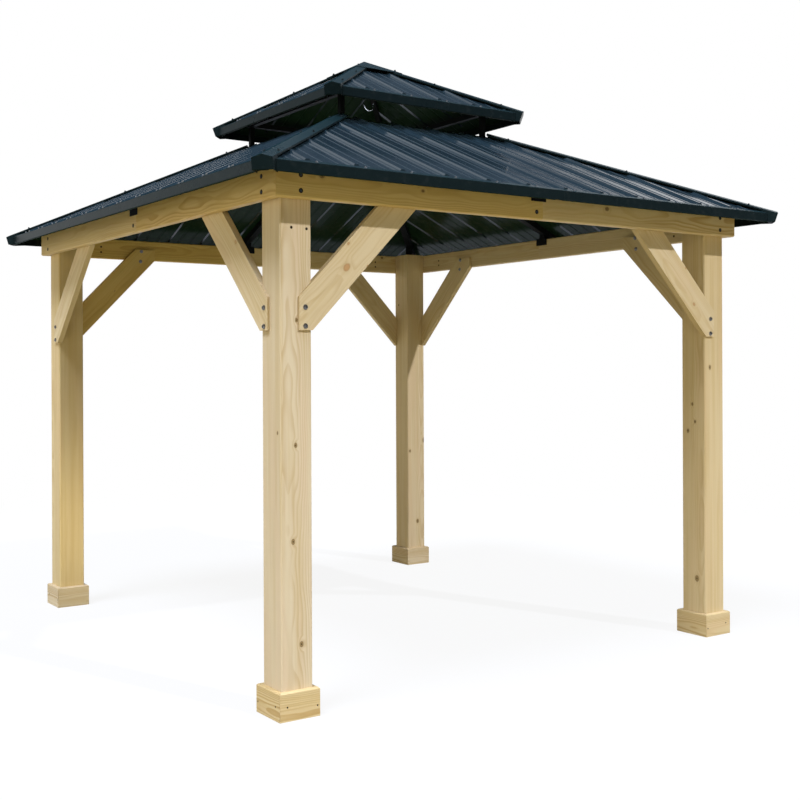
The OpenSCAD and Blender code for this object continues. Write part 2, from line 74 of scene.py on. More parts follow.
class Tree:
    """A node tree with short calls for the nodes that the materials need."""

    def __init__(self, tree):
        self.tree = tree

    def add(self, kind, inputs=None, **settings):
        node = self.tree.nodes.new(kind)
        for key, value in settings.items():
            setattr(node, key, value)
        for key, value in (inputs or {}).items():
            self.put(node.inputs[key], value)
        return node

    def put(self, socket, value):
        if isinstance(value, bpy.types.NodeSocket):
            self.tree.links.new(value, socket)
        else:
            socket.default_value = value

    def math(self, operation, a, b=0.0, c=0.0, clamp=False):
        node = self.add("ShaderNodeMath", operation=operation, use_clamp=clamp)
        for socket, value in zip(node.inputs, (a, b, c)):
            self.put(socket, value)
        return node.outputs[0]

    def vector(self, operation, a, b=(0.0, 0.0, 0.0)):
        node = self.add("ShaderNodeVectorMath", operation=operation)
        self.put(node.inputs[0], a)
        self.put(node.inputs[1], b)
        return node.outputs["Value" if operation in ("LENGTH", "DOT_PRODUCT") else "Vector"]

    def split(self, vector):
        return self.add("ShaderNodeSeparateXYZ", {"Vector": vector}).outputs

    def join(self, x, y, z):
        return self.add("ShaderNodeCombineXYZ", {"X": x, "Y": y, "Z": z}).outputs[0]

    def step(self, value, low, high, to_low=0.0, to_high=1.0):
        """A soft step from to_low at low to to_high at high."""
        node = self.add("ShaderNodeMapRange", {"Value": value, "From Min": low, "From Max": high,
                                               "To Min": to_low, "To Max": to_high},
                        interpolation_type="SMOOTHSTEP")
        return node.outputs["Result"]

    def mix(self, factor, a, b, blend="MIX"):
        node = self.add("ShaderNodeMix", data_type="RGBA", blend_type=blend)
        self.put(node.inputs["Factor"], factor)
        colours = [s for s in node.inputs if s.type == "RGBA"]
        self.put(colours[0], a)
        self.put(colours[1], b)
        return [s for s in node.outputs if s.type == "RGBA"][0]

    def shade(self, colour, level):
        """A colour times a grey level."""
        return self.mix(1.0, colour, self.join(level, level, level), "MULTIPLY")

    def lessen(self, value, mask, loss):
        """A value that loses a share of itself where the mask is 1."""
        return self.math("MULTIPLY", value, self.math("MULTIPLY_ADD", mask, -loss, 1.0))

    def noise(self, vector, scale=1.0, detail=2.0, roughness=0.5):
        node = self.add("ShaderNodeTexNoise", {"Vector": vector, "Scale": scale, "Detail": detail,
                                               "Roughness": roughness})
        return node.outputs["Fac"]

    def waves(self, place, per_metre, detail=2.0):
        """Noise with its own count of waves per metre along each axis."""
        return self.noise(self.vector("MULTIPLY", place, per_metre), detail=detail)

    def bump(self, height, distance, strength=1.0, normal=None):
        inputs = {"Height": height, "Distance": distance, "Strength": strength}
        if normal is not None:
            inputs["Normal"] = normal
        return self.add("ShaderNodeBump", inputs).outputs[0]

    def here(self):
        return self.add("ShaderNodeTexCoord").outputs["Object"]

    def shown_rays(self):
        """The ray kinds, and a mask of those that show the backdrop: straight, mirrored or through glass."""
        rays = self.add("ShaderNodeLightPath").outputs
        shown = self.math("MAXIMUM", rays["Is Camera Ray"], rays["Is Transmission Ray"])
        return rays, self.math("MAXIMUM", shown, rays["Is Glossy Ray"])


def rgb(red, green, blue):
    return (red, green, blue, 1.0)


def blank_material(name):
    """A material with an empty node tree."""
    material = bpy.data.materials.new(name)
    material.use_nodes = True
    material.node_tree.nodes.clear()
    return material, Tree(material.node_tree)


def new_material(name):
    """A material with its output and a Principled shader, and the tree that makes them."""
    material, tree = blank_material(name)
    shader = tree.add("ShaderNodeBsdfPrincipled")
    tree.add("ShaderNodeOutputMaterial", {"Surface": shader.outputs[0]})
    return material, tree, shader


def dress(name, material):
    """Gives a CAD node its material."""
    slots = nodes[name].data.materials
    slots.clear()
    slots.append(material)


# Pine colours, linear
PINE_CREAM = rgb(0.71, 0.59, 0.40)
PINE_STRAW = rgb(0.65, 0.515, 0.31)
PINE_BLUSH = rgb(0.70, 0.55, 0.365)
PINE_LATE = rgb(0.53, 0.375, 0.19)
PINE_AGED = rgb(0.97, 0.85, 0.42)
KNOT_HEART = rgb(0.34, 0.22, 0.08)
KNOT_RIM = rgb(0.13, 0.075, 0.028)
KNOT_PITH = rgb(0.05, 0.032, 0.014)
KNOT_WARM = rgb(0.52, 0.29, 0.12)

# Pine measures in metres: rings, the knots that are strewn about, and the relief of the grain
RING_PITCH = 0.0044
RING_WANDER = 0.030
RING_BEND = 0.0038
KNOT_CELL = 0.36
KNOT_LEAST = 0.003
KNOT_SPREAD = 0.004
FACE_SHIFT = 5.3
GRAIN_RELIEF = 0.0005

# Patterns in the grain: waves per metre along it, and twice across it
WANDER_WAVES = (2.1, 7.0, 7.0)
FADE_WAVES = (0.9, 14.0, 14.0)
STREAK_WAVES = (1.0, 38.0, 38.0)
BLUSH_WAVES = (1.5, 15.0, 15.0)
DARK_WAVES = (2.2, 30.0, 30.0)
FIBRE_WAVES = (11.0, 700.0, 700.0)
RAGGED_WAVES = (260.0, 260.0, 260.0)

# Knots: the share of cells that hold one, their stretch along the grain, and the radii that stand for none
KNOT_SHARE = 0.30
KNOT_STRETCH = 1.35
OWN_KNOT_SCALE = (0.72, 1.0, 1.0)
NO_KNOT = 40.0

# Boards with less figure than the first have live knots, and with more than the second dead ones
LIVE_FIGURE = 0.72
DEAD_FIGURE = 0.84

# How far a board's seed moves its grain along, in metres, and the gloss of planed pine
SEED_STEP = 3.37
PINE_GLOSS = 0.22


def pine_grain():
    """Node group: growth rings round the pith, fibre streaks and knots. Vector runs along the grain in X."""
    group = bpy.data.node_groups.new("pine_grain", "ShaderNodeTree")
    takes = {"Vector": "Vector", "Normal": "Vector", "Knot": "Float", "Figure": "Float", "Aged": "Float"}
    gives = {"Color": "Color", "Roughness": "Float", "Height": "Float"}
    for way, sockets in (("INPUT", takes), ("OUTPUT", gives)):
        for name, kind in sockets.items():
            group.interface.new_socket(name, in_out=way, socket_type="NodeSocket" + kind)
    tree = Tree(group)
    given = tree.add("NodeGroupInput").outputs
    at = given["Vector"]
    x, y, z = tree.split(at)
    _, ny, nz = tree.split(given["Normal"])

    # Knots: branches that come out of the broad faces, one now and then
    broad = tree.math("GREATER_THAN", tree.math("ABSOLUTE", ny), tree.math("ABSOLUTE", nz))
    across = tree.math("ADD", tree.math("MULTIPLY", broad, z),
                       tree.math("MULTIPLY", tree.math("SUBTRACT", 1.0, broad), y))
    along = tree.math("ADD", tree.math("DIVIDE", x, KNOT_STRETCH), tree.math("MULTIPLY", broad, FACE_SHIFT))
    cells = tree.add("ShaderNodeTexVoronoi",
                     {"Vector": tree.join(along, across, 0.0), "Scale": 1.0 / KNOT_CELL},
                     voronoi_dimensions="2D")
    chance, size, _ = tree.split(cells.outputs["Color"])
    radius = tree.math("MULTIPLY_ADD", size, KNOT_SPREAD, KNOT_LEAST)
    reach = tree.math("DIVIDE", tree.math("MULTIPLY", cells.outputs["Distance"], KNOT_CELL), radius)
    none = tree.math("MULTIPLY", tree.math("GREATER_THAN", chance, KNOT_SHARE), NO_KNOT)
    knot = tree.math("MINIMUM", tree.math("ADD", reach, none), given["Knot"])
    bend = tree.step(knot, 3.4, 0.8)
    ragged = tree.waves(at, RAGGED_WAVES)
    knot_edge = tree.math("ADD", knot, tree.math("MULTIPLY_ADD", ragged, 0.5, -0.25))
    knot_in = tree.step(knot_edge, 1.25, 0.75)
    knot_rim = tree.math("MULTIPLY", tree.step(knot_edge, 0.45, 0.95), knot_in)

    # Growth rings, bent by a slow wander and round the knots
    wander = tree.waves(at, WANDER_WAVES)
    ring_at = tree.vector("LENGTH", tree.join(0.0, y, z))
    ring_at = tree.math("ADD", ring_at, tree.math("MULTIPLY", wander, RING_WANDER))
    ring_at = tree.math("ADD", ring_at, tree.math("MULTIPLY", bend, RING_BEND))
    ring = tree.math("FRACT", tree.math("DIVIDE", ring_at, RING_PITCH))
    late = tree.math("MULTIPLY", tree.step(ring, 0.3, 0.85), tree.step(ring, 1.0, 0.90))
    ring_fade = tree.waves(at, FADE_WAVES)
    late = tree.math("MULTIPLY", late, tree.step(ring_fade, 0.3, 0.7, 0.12, 0.72))
    late = tree.math("MULTIPLY", late, given["Figure"], clamp=True)

    # Streaks and fibres along the grain
    streak = tree.waves(at, STREAK_WAVES, detail=3.0)
    blush = tree.waves(at, BLUSH_WAVES)
    fibre = tree.waves(at, FIBRE_WAVES, detail=3.0)
    dark = tree.step(tree.waves(at, DARK_WAVES), 0.60, 0.78, 0.0, 0.35)
    dark = tree.math("MULTIPLY", dark, given["Figure"], clamp=True)
    colour = tree.mix(tree.step(streak, 0.38, 0.68), PINE_CREAM, PINE_STRAW)
    colour = tree.mix(tree.step(blush, 0.46, 0.70, 0.0, 0.8), colour, PINE_BLUSH)
    colour = tree.mix(late, colour, PINE_LATE)
    colour = tree.mix(dark, colour, PINE_LATE)
    colour = tree.shade(colour, tree.math("MULTIPLY_ADD", fibre, 0.12, 0.94))
    colour = tree.mix(given["Aged"], colour, tree.mix(1.0, colour, PINE_AGED, "MULTIPLY"))

    # Knots over the grain: a halo, the heart, and a dark rim and pith where they are dead
    dead = tree.step(given["Figure"], LIVE_FIGURE, DEAD_FIGURE)
    rim = tree.math("MULTIPLY", knot_rim, tree.math("MULTIPLY_ADD", dead, 0.5, 0.2))
    pith = tree.math("MULTIPLY", dead, tree.step(knot_edge, 0.55, 0.2, 0.0, 0.9))
    colour = tree.mix(tree.step(knot, 2.6, 0.9, 0.0, 0.30), colour, PINE_LATE)
    colour = tree.mix(tree.math("MULTIPLY", knot_in, 0.85), colour, tree.mix(dead, KNOT_WARM, KNOT_HEART))
    colour = tree.mix(rim, colour, KNOT_RIM)
    colour = tree.mix(pith, colour, KNOT_PITH)

    rough = tree.math("MULTIPLY_ADD", fibre, 0.16, 0.50)
    rough = tree.math("SUBTRACT", rough, tree.math("MULTIPLY", knot_in, 0.12))
    height = tree.math("ADD", tree.math("MULTIPLY", late, 0.5), tree.math("MULTIPLY", fibre, 0.30))
    height = tree.math("SUBTRACT", height, tree.math("MULTIPLY", knot_rim, 0.8))
    tree.add("NodeGroupOutput", {"Color": colour, "Roughness": rough, "Height": height})
    return group


PINE = pine_grain()


def board_turn(grain, face):
    """The rotation from the object to a board with its grain along X and its broad face along Y."""
    along = Vector(grain).normalized()
    out = Vector(face)
    out = (out - along * out.dot(along)).normalized()
    side = along.cross(out)
    return Matrix((along, out, side))


def knot_field(tree, place, knots):
    """How many radii away the nearest of a board's own knots is; they are longer along the grain.

    A knot is its place in the board's own axes and its radius, in metres.
    """
    field = NO_KNOT
    for spot, radius in knots:
        gap = tree.vector("MULTIPLY", tree.vector("SUBTRACT", place, spot), OWN_KNOT_SCALE)
        field = tree.math("MINIMUM", tree.math("DIVIDE", tree.vector("LENGTH", gap), radius), field)
    return field


def board_coords(tree, grain, face, centre, pith, seed, knots=()):
    """Position and normal in a board's own axes, in metres, and the field of its own knots.

    The axes start at the centre, set off from the pith and moved along by the seed. A knot is
    (x, y, z, radius) in metres in the shared frame.
    """
    turn = board_turn(grain, face)
    euler = turn.to_euler("XYZ")
    shift = Vector((seed * SEED_STEP, pith[0], pith[1])) - turn @ Vector(centre)
    facing_to = tree.add("ShaderNodeNewGeometry").outputs["True Normal"]
    place = tree.add("ShaderNodeMapping", {"Vector": tree.here(), "Location": shift, "Rotation": euler})
    normal = tree.add("ShaderNodeMapping", {"Vector": facing_to, "Rotation": euler}, vector_type="VECTOR")
    own = [(tuple(turn @ Vector(spot[:3]) + shift), spot[3]) for spot in knots]
    return place.outputs[0], normal.outputs[0], knot_field(tree, place.outputs[0], own)


def finish_pine(tree, shader, place, normal, knot, figure, aged):
    """Joins the grain group to the shader."""
    inputs = {"Vector": place, "Normal": normal, "Knot": knot, "Figure": figure, "Aged": aged}
    grain = tree.add("ShaderNodeGroup", inputs, node_tree=PINE)
    tree.put(shader.inputs["Base Color"], grain.outputs["Color"])
    tree.put(shader.inputs["Roughness"], grain.outputs["Roughness"])
    tree.put(shader.inputs["Normal"], tree.bump(grain.outputs["Height"], GRAIN_RELIEF))
    shader.inputs["Specular IOR Level"].default_value = PINE_GLOSS


def middle(name):
    """The centre of a CAD node's box."""
    low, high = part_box(name)
    return (Vector(low) + Vector(high)) / 2


def pine_board(name, grain, face, pith, seed, knots, figure, aged):
    """Pine for one straight board or post."""
    material, tree, shader = new_material("pine_" + name)
    place, normal, knot = board_coords(tree, grain, face, middle(name), pith, seed, knots)
    finish_pine(tree, shader, place, normal, knot, figure, aged)
    dress(name, material)


# Beams of two boards, in metres: where they butt and how the second one's grain is moved; their figures
BEAM_SEAM = 0.026
SECOND_SHIFT = (2.9, 0.031, -0.02)
PAIR_FIGURE = (0.9, 1.5)


def pine_pair(name, grain, face, pith, seed, aged, knots):
    """Pine for a beam of two boards that butt at the seam, measured along the grain from the node's centre.

    Aged gives the yellowing of the first and the second board.
    """
    material, tree, shader = new_material("pine_" + name)
    place, normal, knot = board_coords(tree, grain, face, middle(name), pith, 0.0, knots)
    second = tree.math("GREATER_THAN", tree.split(place)[0], BEAM_SEAM)
    jump = tree.join(tree.math("MULTIPLY_ADD", second, SECOND_SHIFT[0], seed * SEED_STEP),
                     tree.math("MULTIPLY", second, SECOND_SHIFT[1]),
                     tree.math("MULTIPLY", second, SECOND_SHIFT[2]))
    figure = tree.math("MULTIPLY_ADD", second, PAIR_FIGURE[1] - PAIR_FIGURE[0], PAIR_FIGURE[0])
    yellow = tree.math("MULTIPLY_ADD", second, aged[1] - aged[0], aged[0])
    finish_pine(tree, shader, tree.vector("ADD", place, jump), normal, knot, figure, yellow)
    dress(name, material)


# Skirts: the piths of the boards along X and along Y, the step of the seed between them, and the figure
SKIRT_PITH_X = (0.16, 0.03)
SKIRT_PITH_Y = (0.17, -0.02)
SKIRT_SEED_STEP = 0.7
SKIRT_FIGURE = 1.7


def pine_skirt(name, seed, aged):
    """Pine for the four mitred boards round a post's foot, each with level grain."""
    material, tree, shader = new_material("pine_" + name)
    centre = middle(name)
    x, y, _ = tree.split(tree.vector("SUBTRACT", tree.here(), centre))
    side = tree.math("GREATER_THAN", tree.math("ABSOLUTE", x), tree.math("ABSOLUTE", y))
    across = board_coords(tree, (1, 0, 0), (0, 1, 0), centre, SKIRT_PITH_X, seed)
    along = board_coords(tree, (0, 1, 0), (1, 0, 0), centre, SKIRT_PITH_Y, seed + SKIRT_SEED_STEP)
    place = tree.mix(side, across[0], along[0])
    normal = tree.mix(side, across[1], along[1])
    finish_pine(tree, shader, place, normal, NO_KNOT, SKIRT_FIGURE, aged)
    dress(name, material)


# Yellowing of the timber, from 0 to 1: by corner, by side for the two boards of each beam, and of braces
POST_AGED = {"front_left": 0.0, "front_right": 0.3, "rear_right": 0.15, "rear_left": 0.45}
SKIRT_AGED = {"front_left": 0.45, "front_right": 0.35, "rear_right": 0.1, "rear_left": 0.0}
BEAM_AGED = {"front": (0.85, 0.5), "right": (0.1, 0.15), "rear": (0.4, 1.0), "left": (0.55, 0.8)}
BRACE_AGED = 0.2
YELLOW_BRACE = "rear_brace_left"
YELLOW_BRACE_AGED = 0.9

# Timber by kind: the pith's place off the middle in metres, the strength of the figure, and the first seed
POST_PITH = (0.15, 0.045)
BEAM_PITH = (0.10, 0.03)
BRACE_PITH = (0.14, 0.02)
POST_FIGURE = 0.85
BRACE_FIGURE = 0.7
POST_SEED = 1.0
SKIRT_SEED = 11.0
BEAM_SEED = 21.0
BRACE_SEED = 31.0


def own_knots():
    """The knots that show in the photograph: (x, y, z, radius) in metres, on the faces of the CAD nodes."""
    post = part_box("front_left_post")[0][1]
    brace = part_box("front_brace_left")[0][1]
    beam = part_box("front_beam")[0][1]
    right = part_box("front_right_post")[0][0]
    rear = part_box("rear_right_post")[0][1]
    return {
        "front_left_post": ((-1.2240, post, 1.0440, 0.007), (-1.2005, post, 0.2804, 0.008),
                            (-1.2180, post, 1.5230, 0.006), (-1.2365, post, 0.6759, 0.008)),
        "front_right_post": ((1.1890, post, 1.3326, 0.008), (right, -1.1869, 1.0138, 0.007),
                             (right, -1.2302, 1.0613, 0.006), (right, -1.2141, 1.1489, 0.006),
                             (right, -1.2387, 0.2782, 0.011)),
        "rear_right_post": ((1.2874, rear, 0.8380, 0.012), (1.1672, rear, 0.7679, 0.007),
                            (1.2295, rear, 0.2877, 0.010)),
        "front_beam": ((-0.6362, beam, 2.0580, 0.006), (0.4256, beam, 2.0608, 0.009),
                       (-1.1246, beam, 2.0764, 0.008)),
        "front_brace_left": ((-0.9917, brace, 1.7339, 0.013), (-0.9830, brace, 1.8280, 0.005)),
        "front_brace_right": ((1.0597, brace, 1.6427, 0.007),),
        "left_brace_front": ((brace, -0.9560, 1.8487, 0.007),),
    }


def dress_timber():
    """Every post, beam, brace and skirt with its own run of grain."""
    knots = own_knots()
    for index, (corner, turn) in enumerate(CORNER_TURN.items()):
        post = corner + "_post"
        out = turned(turn) @ Vector((0, -1, 0))
        pine_board(post, (0, 0, 1), out, POST_PITH, POST_SEED + index, knots.get(post, ()), POST_FIGURE,
                   POST_AGED[corner])
        pine_skirt(corner + "_skirt", SKIRT_SEED + index, SKIRT_AGED[corner])
    for index, (side, turn) in enumerate(SIDE_TURN.items()):
        beam = side + "_beam"
        out = turned(turn) @ Vector((0, -1, 0))
        along = turned(turn) @ Vector((1, 0, 0))
        pine_pair(beam, along, out, BEAM_PITH, BEAM_SEED + index, BEAM_AGED[side], knots.get(beam, ()))
        for end, brace in zip((1, -1), BRACES[side]):
            grain = turned(turn) @ Vector((end, 0, 1))
            seed = BRACE_SEED + 2 * index + 0.5 * end
            aged = YELLOW_BRACE_AGED if brace == YELLOW_BRACE else BRACE_AGED
            pine_board(brace, grain, out, BRACE_PITH, seed, knots.get(brace, ()), BRACE_FIGURE, aged)


# Ribs of the roof sheets, in metres: their lines, and how far off the middle flank and swages begin
RIB_PITCH = 0.220
RIB_SHIFT = 0.070
FLANK_BAND = (0.0125, 0.0150)
SWAGE_BAND = (0.019, 0.023)

# Tangent of the lower slope, and more lanes between ribs than half a slope has
SLOPE_FALL = 0.4536
LANES = 20

# Roof steel colours, linear
SHEET_TOP = rgb(0.0145, 0.0275, 0.0365)
SHEET_UNDER = rgb(0.0092, 0.0250, 0.0145)
# The trim is one paint: a lit tone on its top faces and a darker painted shade on its upright faces
TRIM_LIT_TOP = rgb(0.0085, 0.0225, 0.0265)
TRIM_SHADED_FACE = rgb(0.0072, 0.0128, 0.0140)
TRIM_GLINT = rgb(0.45, 0.92, 1.0)
PLAIN_GLINT = rgb(1, 1, 1)
DUST = rgb(0.30, 0.31, 0.30)
FRAME_BLACK = rgb(0.006, 0.007, 0.007)
ZINC_BRIGHT = rgb(0.74, 0.75, 0.76)
BOLT_GREY = rgb(0.22, 0.21, 0.19)
SCREW_GREY = rgb(0.30, 0.31, 0.32)
SCREW_COAT = rgb(0.06, 0.075, 0.08)
# The dark of the wells is painted shade: flat discs stand for the shadowed hollows the beam bolts sink in;
# screws and nails share the colour
WELL_SHADE_AND_SCREW_DARK = rgb(0.030, 0.022, 0.014)

# Shine of the coat, and the shares of it that the flanks of the ribs, the swages and the back lose
COAT_SHINE = 0.9
FLANK_LOSS = 0.80
SWAGE_LOSS = 0.92
BACK_LOSS = 0.98

# The fold of the trims that catches light, and the waviness of the sheets, in metres
TRIM_FOLD = 0.006
SHEET_WAVE = 0.004


def rib_gap(tree, here):
    """How far a place on a roof slope is from the middle of the nearest rib, and the slope's normal."""
    x, y, _ = tree.split(here)
    ends = tree.math("GREATER_THAN", tree.math("ABSOLUTE", y), tree.math("ABSOLUTE", x))
    sides = tree.math("SUBTRACT", 1.0, ends)
    fall_x = tree.math("MULTIPLY", tree.math("SIGN", x), sides)
    fall_y = tree.math("MULTIPLY", tree.math("SIGN", y), ends)
    across = tree.math("SUBTRACT", tree.math("MULTIPLY", fall_x, y), tree.math("MULTIPLY", fall_y, x))
    lane = tree.math("ADD", tree.math("SUBTRACT", across, RIB_SHIFT), (LANES + 0.5) * RIB_PITCH)
    lane = tree.math("SUBTRACT", tree.math("MODULO", lane, RIB_PITCH), 0.5 * RIB_PITCH)
    fall = tree.vector("MULTIPLY", tree.join(fall_x, fall_y, 0.0), (SLOPE_FALL, SLOPE_FALL, SLOPE_FALL))
    slope = tree.vector("NORMALIZE", tree.vector("ADD", fall, (0.0, 0.0, 1.0)))
    return tree.math("ABSOLUTE", lane), slope


def coil_paint(name, top, face, glint, rough, gloss=1.0, edge_shine=0.0, fold=0.0):
    """Coil-coated steel: a top coat, painted shade as a deeper tone on upright faces, a dull back, faint
    waviness and dust.

    Gloss is the share of the shine that upright faces keep, and edge_shine the shine at a glancing look.
    """
    material, tree, shader = new_material(name)
    here = tree.here()
    normal = tree.add("ShaderNodeNewGeometry").outputs["True Normal"]
    if fold:
        normal = tree.add("ShaderNodeBevel", {"Radius": fold}, samples=6).outputs[0]
    up = tree.split(normal)[2]
    back = tree.step(up, -0.45, -0.65)
    upright = tree.step(up, 0.75, 0.45)
    cloud = tree.noise(here, 2.3, 3.0)
    dust = tree.noise(here, 38.0, 4.0, 0.6)
    # Painted light: upright faces take the face colour as painted shade, the others the top colour as their
    # lit tone
    colour = tree.mix(upright, top, face)
    colour = tree.mix(back, colour, SHEET_UNDER)
    colour = tree.shade(colour, tree.math("MULTIPLY_ADD", cloud, 0.4, 0.8))
    colour = tree.mix(tree.step(dust, 0.50, 0.8, 0.0, 0.03), colour, DUST)
    tree.put(shader.inputs["Base Color"], colour)
    haze = tree.math("MULTIPLY_ADD", cloud, 0.08, rough - 0.04)
    haze = tree.math("ADD", haze, tree.math("MULTIPLY", dust, 0.015))
    haze = tree.math("ADD", haze, tree.math("MULTIPLY", back, 0.10))
    tree.put(shader.inputs["Roughness"], haze)

    # The coat loses shine at a glancing look, on the flanks of the ribs, on the small swages and on the back
    edge_on = tree.add("ShaderNodeLayerWeight", {"Blend": 0.5}).outputs["Facing"]
    shine = tree.step(edge_on, 0.955, 0.86, edge_shine, COAT_SHINE)
    shine = tree.math("MULTIPLY", shine, tree.step(upright, 0.0, 1.0, 1.0, gloss))
    gap, slope = rib_gap(tree, here)
    bent = tree.step(tree.vector("DOT_PRODUCT", normal, slope), 0.995, 0.96)
    bent = tree.math("MULTIPLY", bent, tree.step(up, 0.2, 0.4))
    past_rib = tree.step(gap, *SWAGE_BAND)
    swage = tree.math("MULTIPLY", bent, past_rib)
    flank = tree.math("MULTIPLY", bent, tree.step(gap, *FLANK_BAND))
    flank = tree.math("MULTIPLY", flank, tree.math("SUBTRACT", 1.0, past_rib))
    shine = tree.lessen(shine, flank, FLANK_LOSS)
    shine = tree.lessen(shine, swage, SWAGE_LOSS)
    shine = tree.lessen(shine, back, BACK_LOSS)
    tree.put(shader.inputs["Specular IOR Level"], shine)
    shader.inputs["Specular Tint"].default_value = glint
    wave = tree.noise(here, 3.5, 1.0)
    tree.put(shader.inputs["Normal"], tree.bump(wave, SHEET_WAVE, 0.35, normal if fold else None))
    return material


def powder_coat(name, colour):
    """Matt powder coat, for the roof frame and for the painted shade of the wells, whose colour the dark
    screws and nails share.
    """
    material, tree, shader = new_material(name)
    here = tree.here()
    grain = tree.noise(here, 1400.0, 2.0)
    cloud = tree.noise(here, 9.0, 3.0)
    tint = tree.math("MULTIPLY_ADD", cloud, 0.6, 0.7)
    tree.put(shader.inputs["Base Color"], tree.shade(colour, tint))
    tree.put(shader.inputs["Roughness"], tree.math("MULTIPLY_ADD", grain, 0.2, 0.45))
    tree.put(shader.inputs["Normal"], tree.bump(grain, 0.0002, 0.6))
    shader.inputs["Specular IOR Level"].default_value = 0.04
    return material


def plated(name, colour, rough):
    """Plated steel of screws, bolts and the hook."""
    material, tree, shader = new_material(name)
    spangle = tree.noise(tree.here(), 420.0, 3.0, 0.6)
    tint = tree.math("MULTIPLY_ADD", spangle, 0.4, 0.8)
    tree.put(shader.inputs["Base Color"], tree.shade(colour, tint))
    tree.put(shader.inputs["Roughness"], tree.math("MULTIPLY_ADD", spangle, 0.25, rough))
    shader.inputs["Metallic"].default_value = 1.0
    return material


def dress_steel():
    """The roof, its trims and the steel frame under it."""
    sheet = coil_paint("sheet_paint", SHEET_TOP, SHEET_TOP, PLAIN_GLINT, rough=0.10, edge_shine=0.03)
    upper = coil_paint("upper_sheet_paint", SHEET_TOP, SHEET_TOP, PLAIN_GLINT, rough=0.18, edge_shine=0.35)
    # The trims' upright faces get a painted shade that is darker than their top faces
    trim = coil_paint("trim_paint", TRIM_LIT_TOP, TRIM_SHADED_FACE, TRIM_GLINT, rough=0.27, gloss=0.075, fold=TRIM_FOLD)
    black = powder_coat("frame_paint", FRAME_BLACK)
    zinc = plated("hook_zinc", ZINC_BRIGHT, rough=0.12)
    coats = {"roof_sheet": sheet, "roof_trim": trim, "frame_steel": black, "zinc_wire": zinc}
    for part in frame["record"]["subparts"]:
        if part["material_slot"] in coats:
            dress(part["node"], coats[part["material_slot"]])
    dress("upper_roof_sheets", upper)


def revolve(mesh, place, profile, sides=20):
    """Adds a turned shape to a bmesh along place's Z: (radius, height) pairs in metres, foot to crown."""
    rings = []
    for radius, height in profile:
        if radius == 0.0:
            rings.append([mesh.verts.new(place @ Vector((0, 0, height)))])
            continue
        ring = []
        for k in range(sides):
            turn = 2 * math.pi * k / sides
            corner = Vector((radius * math.cos(turn), radius * math.sin(turn), height))
            ring.append(mesh.verts.new(place @ corner))
        rings.append(ring)
    for low, high in zip(rings, rings[1:]):
        for k in range(sides):
            after = (k + 1) % sides
            if len(high) == 1:
                mesh.faces.new((low[k], low[after], high[0]))
            elif len(low) == 1:
                mesh.faces.new((low[0], high[after], high[k]))
            else:
                mesh.faces.new((low[k], low[after], high[after], high[k]))


def facing(point, normal):
    """A frame at point with Z along normal."""
    out = Vector(normal).normalized()
    return Matrix.Translation(Vector(point)) @ out.to_track_quat("Z", "Y").to_matrix().to_4x4()


def add_piece(name, mesh, material):
    """Turns a bmesh into a piece that rides on the gazebo."""
    bmesh.ops.recalc_face_normals(mesh, faces=mesh.faces)
    data = bpy.data.meshes.new(name)
    mesh.to_mesh(data)
    mesh.free()
    data.materials.append(material)
    piece = bpy.data.objects.new(name, data)
    bpy.context.scene.collection.objects.link(piece)
    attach(piece, "root")


# Fixings, in metres: (radius, height) profiles from the seat to the crown
BOLT_WASHER = ((0.0, -0.002), (0.0105, -0.002), (0.0105, 0.0012), (0.0098, 0.0018), (0.0, 0.0018))
BOLT_HEAD = ((0.0, 0.001), (0.0078, 0.001), (0.0078, 0.0045), (0.0068, 0.0062), (0.0040, 0.0066),
             (0.0034, 0.0035), (0.0, 0.0035))
# The well is a flat disc of painted shade that stands for the shadowed hollow round a sunk bolt
WELL_SHADE_DISC = ((0.0, -0.001), (0.0098, -0.001), (0.0098, 0.0004), (0.0090, 0.0006), (0.0, 0.0006))
WELL_BOLT = ((0.0, 0.0005), (0.0050, 0.0005), (0.0046, 0.0016), (0.0030, 0.0018), (0.0025, 0.0008),
             (0.0, 0.0008))
SCREW_SPOT = ((0.0, -0.001), (0.0058, -0.001), (0.0058, 0.0003), (0.0040, 0.0005), (0.0032, 0.0002),
              (0.0, 0.0002))
NAIL = ((0.0, -0.001), (0.0034, -0.001), (0.0034, 0.0004), (0.0026, 0.0008), (0.0, 0.0009))
ROOF_WASHER = ((0.0, -0.001), (0.0066, -0.001), (0.0068, 0.0008), (0.0058, 0.0018), (0.0, 0.0020))
ROOF_HEX = ((0.0, 0.0015), (0.0042, 0.0015), (0.0042, 0.0056), (0.0036, 0.0064), (0.0, 0.0066))

# Places of the fixings on the front side, in metres; the other sides are turns of it
BEAM_END_BOLTS_Z = (2.073, 2.013)
BEAM_MID_BOLTS = ((-0.010, 2.077), (-0.010, 2.017))
BEAM_INNER_SCREWS = ((0.985, 2.021), (0.985, 2.052))
BRACE_BOLTS = ((1.183, 1.5005), (1.183, 1.573))
BRACE_HEAD_BOLTS = ((0.738, 2.035), (0.744, 1.975))
POST_SCREWS = ((-1.239, 1.8765), (-1.171, 1.875))
SKIRT_NAILS = ((-1.277, 0.055), (-1.142, 0.0425))

# Ribs to either side of the first one, beside which roof screws may sit
RIB_COUNT = 6

# Roof screws, in metres: how far beside each rib and in from the edges they sit, and their rows on the caps
BESIDE_RIB = 0.024
IN_FROM_EAVE = 0.013
BOX_SHY = 0.075
HIP_ROWS = (1.375, 0.96, 0.54)
UPPER_HIP_ROWS = (0.515, 0.27)
HIP_BESIDE = 0.027
PEAK_ROW = 0.118
ABOVE_ROOF = 5.0


